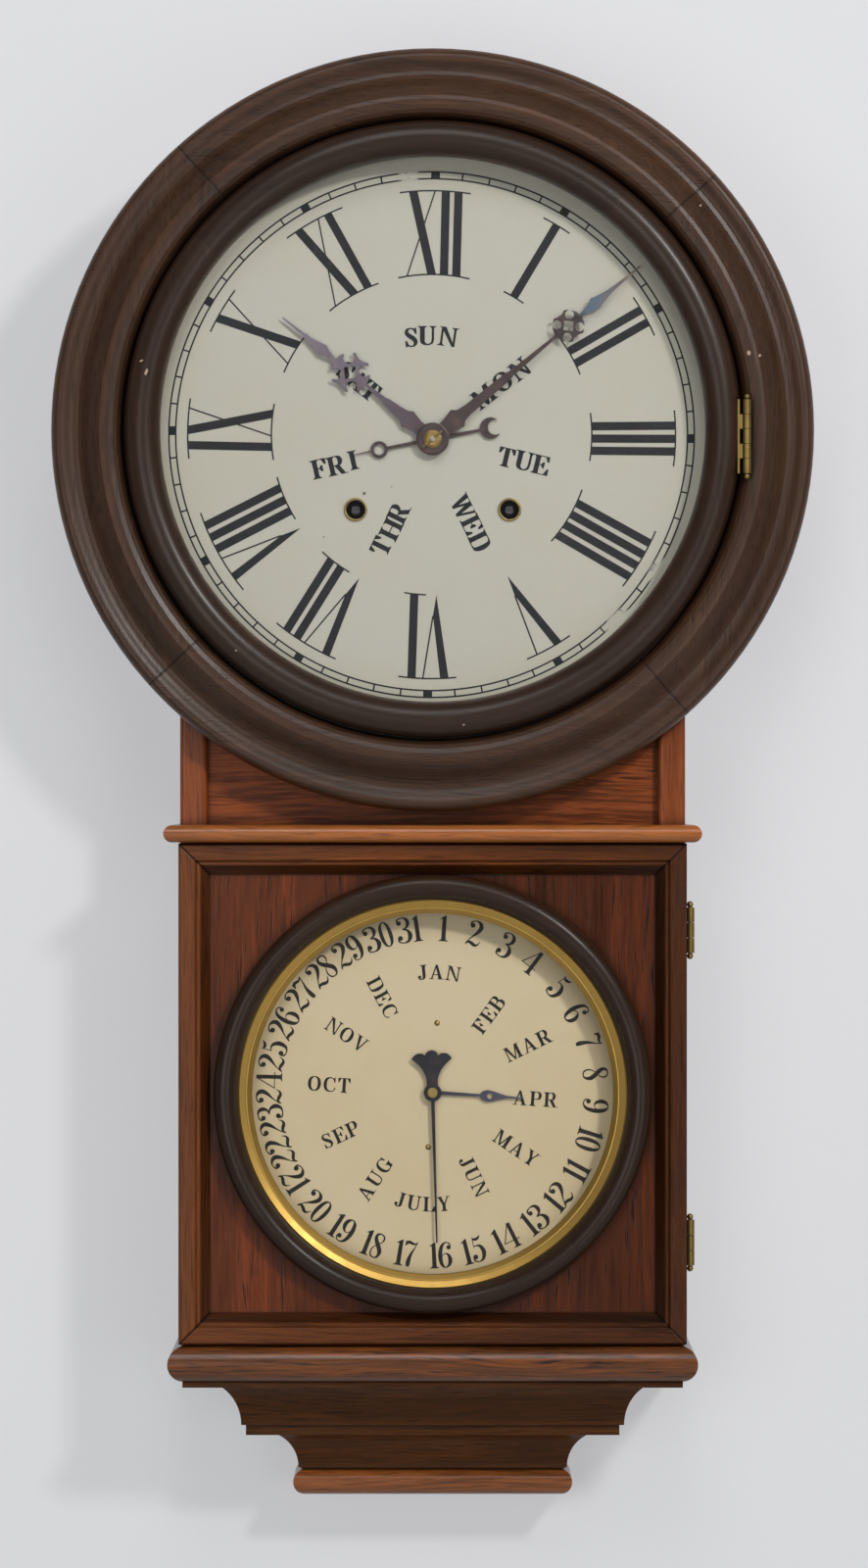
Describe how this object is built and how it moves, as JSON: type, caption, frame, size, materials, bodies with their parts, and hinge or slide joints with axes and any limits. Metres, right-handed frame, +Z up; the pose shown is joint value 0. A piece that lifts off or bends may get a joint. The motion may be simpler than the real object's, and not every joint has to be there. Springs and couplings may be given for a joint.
{
  "type": "regulator clock",
  "caption": "Pendulum wall clock with a round glazed head, its dial also reading the weekday, over a glazed door with a calendar dial, in a dark moulded wooden case",
  "frame": {"origin": "centre of the hole in the hanger plate, in the plane of the wall", "axes": "+Z up, -Y forward out of the wall, +X to the right as the clock is read"},
  "size_m": [0.4452, 0.134, 0.852],
  "materials": {
    "case_wood": "dark red-brown varnish, open grain",
    "belt_wood": "polished varnish",
    "door_wood": "polished varnish",
    "panel_wood": "polished figured veneer",
    "black_wood": "ebonised, satin",
    "inner_wood": "plain softwood",
    "brass": "aged satin",
    "steel": "satin",
    "spring_steel": "blued",
    "blued_steel": "blued, partly turned brown",
    "iron": "dark",
    "time_paint": "aged off-white",
    "calendar_paint": "aged cream",
    "glass": "clear"
  },
  "bodies": {
    "case": {"backboard": "inner_wood", "case_sides": "case_wood", "case_ends": "inner_wood", "dial_board": "inner_wood", "head_ring": "black_wood", "frieze_panel": "case_wood", "belt_moulding": "belt_wood", "base_torus": "case_wood", "base_coves": "case_wood", "base_roll": "case_wood", "hanger_plate": "steel", "brass_screws": "brass", "time_dial": "time_paint", "winding_grommets": "brass", "case_hinge_leaves": "brass", "hinge_pins": "brass", "calendar_dial": "calendar_paint", "calendar_frame": "iron", "movement_plates": "brass", "plate_pillars": "steel", "suspension_cock": "brass", "mainsprings": "spring_steel", "gong": "spring_steel", "gong_block": "iron"},
    "bezel": {"bezel_ring": "black_wood", "bezel_glass": "glass", "bezel_hinge_leaf": "brass"},
    "door": {"door_frame": "door_wood", "door_panel": "panel_wood", "door_ring": "black_wood", "sight_ring": "brass", "door_glass": "glass", "door_hinge_leaves": "brass"},
    "minute": {"minute_hand": "blued_steel", "hand_fastening": "brass", "centre_arbor": "steel"},
    "hour": {"hour_hand": "blued_steel", "hour_wheel": "brass"},
    "minute_work": {"minute_wheel": "brass"},
    "weekday": {"weekday_hand": "blued_steel"},
    "day": {"day_wheel": "brass"},
    "date": {"date_hand": "blued_steel", "date_wheel": "brass"},
    "month": {"month_hand": "blued_steel", "month_wheel": "brass"},
    "lift": {"lift_wire": "steel"},
    "lever": {"calendar_lever": "steel"},
    "time_great": {"time_great_wheel": "brass"},
    "time_winder": {"time_arbor": "steel"},
    "strike_great": {"strike_great_wheel": "brass"},
    "strike_winder": {"strike_arbor": "steel"},
    "centre": {"centre_wheel": "brass"},
    "second": {"second_wheel": "brass"},
    "third": {"third_wheel": "brass"},
    "escape": {"escape_wheel": "brass"},
    "pendulum": {"pendulum_rod": "steel"},
    "bob": {"pendulum_bob": "brass", "rating_nut": "brass"},
    "crutch": {"verge": "steel"},
    "hammer": {"strike_hammer": "steel"}
  },
  "joints": [
    {"name": "bezel_hinge", "type": "hinge", "parent": "case", "child": "bezel", "pos_m": [0.1824, -0.13, -0.1256], "axis": [0, 0, 1], "range_deg": [0, 120]},
    {"name": "door_hinge", "type": "hinge", "parent": "case", "child": "door", "pos_m": [0.15095, -0.0953, -0.5081], "axis": [0, 0, 1], "range_deg": [0, 150]},
    {"name": "minute_turn", "type": "hinge", "parent": "case", "child": "minute", "pos_m": [0, -0.08, -0.126], "axis": [0, 1, 0], "continuous": true},
    {"name": "hour_turn", "type": "hinge", "parent": "case", "child": "hour", "pos_m": [0, -0.08, -0.126], "axis": [0, 1, 0], "continuous": true},
    {"name": "minute_work_turn", "type": "hinge", "parent": "case", "child": "minute_work", "pos_m": [-0.01182, -0.08, -0.13523], "axis": [0, 1, 0], "continuous": true},
    {"name": "day_turn", "type": "hinge", "parent": "case", "child": "day", "pos_m": [-0.01385, -0.08, -0.10827], "axis": [0, 1, 0], "continuous": true},
    {"name": "weekday_turn", "type": "hinge", "parent": "case", "child": "weekday", "pos_m": [0, -0.08, -0.126], "axis": [0, 1, 0], "continuous": true},
    {"name": "date_turn", "type": "hinge", "parent": "case", "child": "date", "pos_m": [0, -0.08, -0.5081], "axis": [0, 1, 0], "continuous": true},
    {"name": "month_turn", "type": "hinge", "parent": "case", "child": "month", "pos_m": [0, -0.08, -0.5081], "axis": [0, 1, 0], "continuous": true},
    {"name": "escape_turn", "type": "hinge", "parent": "case", "child": "escape", "pos_m": [0.01239, -0.08, -0.09773], "axis": [0, 1, 0], "continuous": true},
    {"name": "third_turn", "type": "hinge", "parent": "case", "child": "third", "pos_m": [0.0348, -0.08, -0.10168], "axis": [0, 1, 0], "continuous": true},
    {"name": "second_turn", "type": "hinge", "parent": "case", "child": "second", "pos_m": [0.03972, -0.08, -0.12957], "axis": [0, 1, 0], "continuous": true},
    {"name": "time_great_turn", "type": "hinge", "parent": "case", "child": "time_great", "pos_m": [0.045, -0.08, -0.167], "axis": [0, 1, 0], "continuous": true},
    {"name": "centre_turn", "type": "hinge", "parent": "case", "child": "centre", "pos_m": [0, -0.08, -0.126], "axis": [0, 1, 0], "continuous": true},
    {"name": "time_winding", "type": "hinge", "parent": "case", "child": "time_winder", "pos_m": [0.045, -0.08, -0.167], "axis": [0, 1, 0], "continuous": true},
    {"name": "strike_winding", "type": "hinge", "parent": "case", "child": "strike_winder", "pos_m": [-0.045, -0.08, -0.167], "axis": [0, 1, 0], "continuous": true},
    {"name": "strike_great_turn", "type": "hinge", "parent": "case", "child": "strike_great", "pos_m": [-0.045, -0.08, -0.167], "axis": [0, 1, 0], "continuous": true},
    {"name": "pendulum_swing", "type": "hinge", "parent": "case", "child": "pendulum", "pos_m": [0, -0.028, -0.081], "axis": [0, 1, 0], "range_deg": [-3, 3]},
    {"name": "crutch_swing", "type": "hinge", "parent": "case", "child": "crutch", "pos_m": [0, -0.08, -0.081], "axis": [0, 1, 0], "range_deg": [-3, 3]},
    {"name": "bob_rating", "type": "slide", "parent": "pendulum", "child": "bob", "axis": [0, 0, 1], "range_m": [-0.004, 0.006]},
    {"name": "hammer_lift", "type": "hinge", "parent": "case", "child": "hammer", "pos_m": [-0.018, -0.08, -0.196], "axis": [0, 1, 0], "range_deg": [-12, 0], "stiffness_Nm_per_rad": 0.02, "springref_deg": 11.46},
    {"name": "lift_rise", "type": "slide", "parent": "case", "child": "lift", "axis": [0, 0, 1], "range_m": [0, 0.005]},
    {"name": "lever_turn", "type": "hinge", "parent": "case", "child": "lever", "pos_m": [-0.057, -0.08, -0.5201], "axis": [0, 1, 0], "range_deg": [0, 17]}
  ],
  "couplings": [
    {"joint": "hour_turn", "follows": "minute_turn", "ratio": 0.083333},
    {"joint": "minute_work_turn", "follows": "minute_turn", "ratio": -0.33333},
    {"joint": "day_turn", "follows": "minute_turn", "ratio": -0.041667},
    {"joint": "weekday_turn", "follows": "minute_turn", "ratio": 0.0059524},
    {"joint": "date_turn", "follows": "minute_turn", "ratio": 0.0013441},
    {"joint": "month_turn", "follows": "minute_turn", "ratio": 0.00011201},
    {"joint": "third_turn", "follows": "escape_turn", "ratio": -0.083333},
    {"joint": "second_turn", "follows": "escape_turn", "ratio": 0.0060764},
    {"joint": "time_great_turn", "follows": "escape_turn", "ratio": -0.0010127},
    {"joint": "centre_turn", "follows": "escape_turn", "ratio": -0.011905},
    {"joint": "crutch_swing", "follows": "pendulum_swing", "ratio": 1},
    {"joint": "lever_turn", "follows": "lift_rise", "rad_per_m": 58.824}
  ]
}
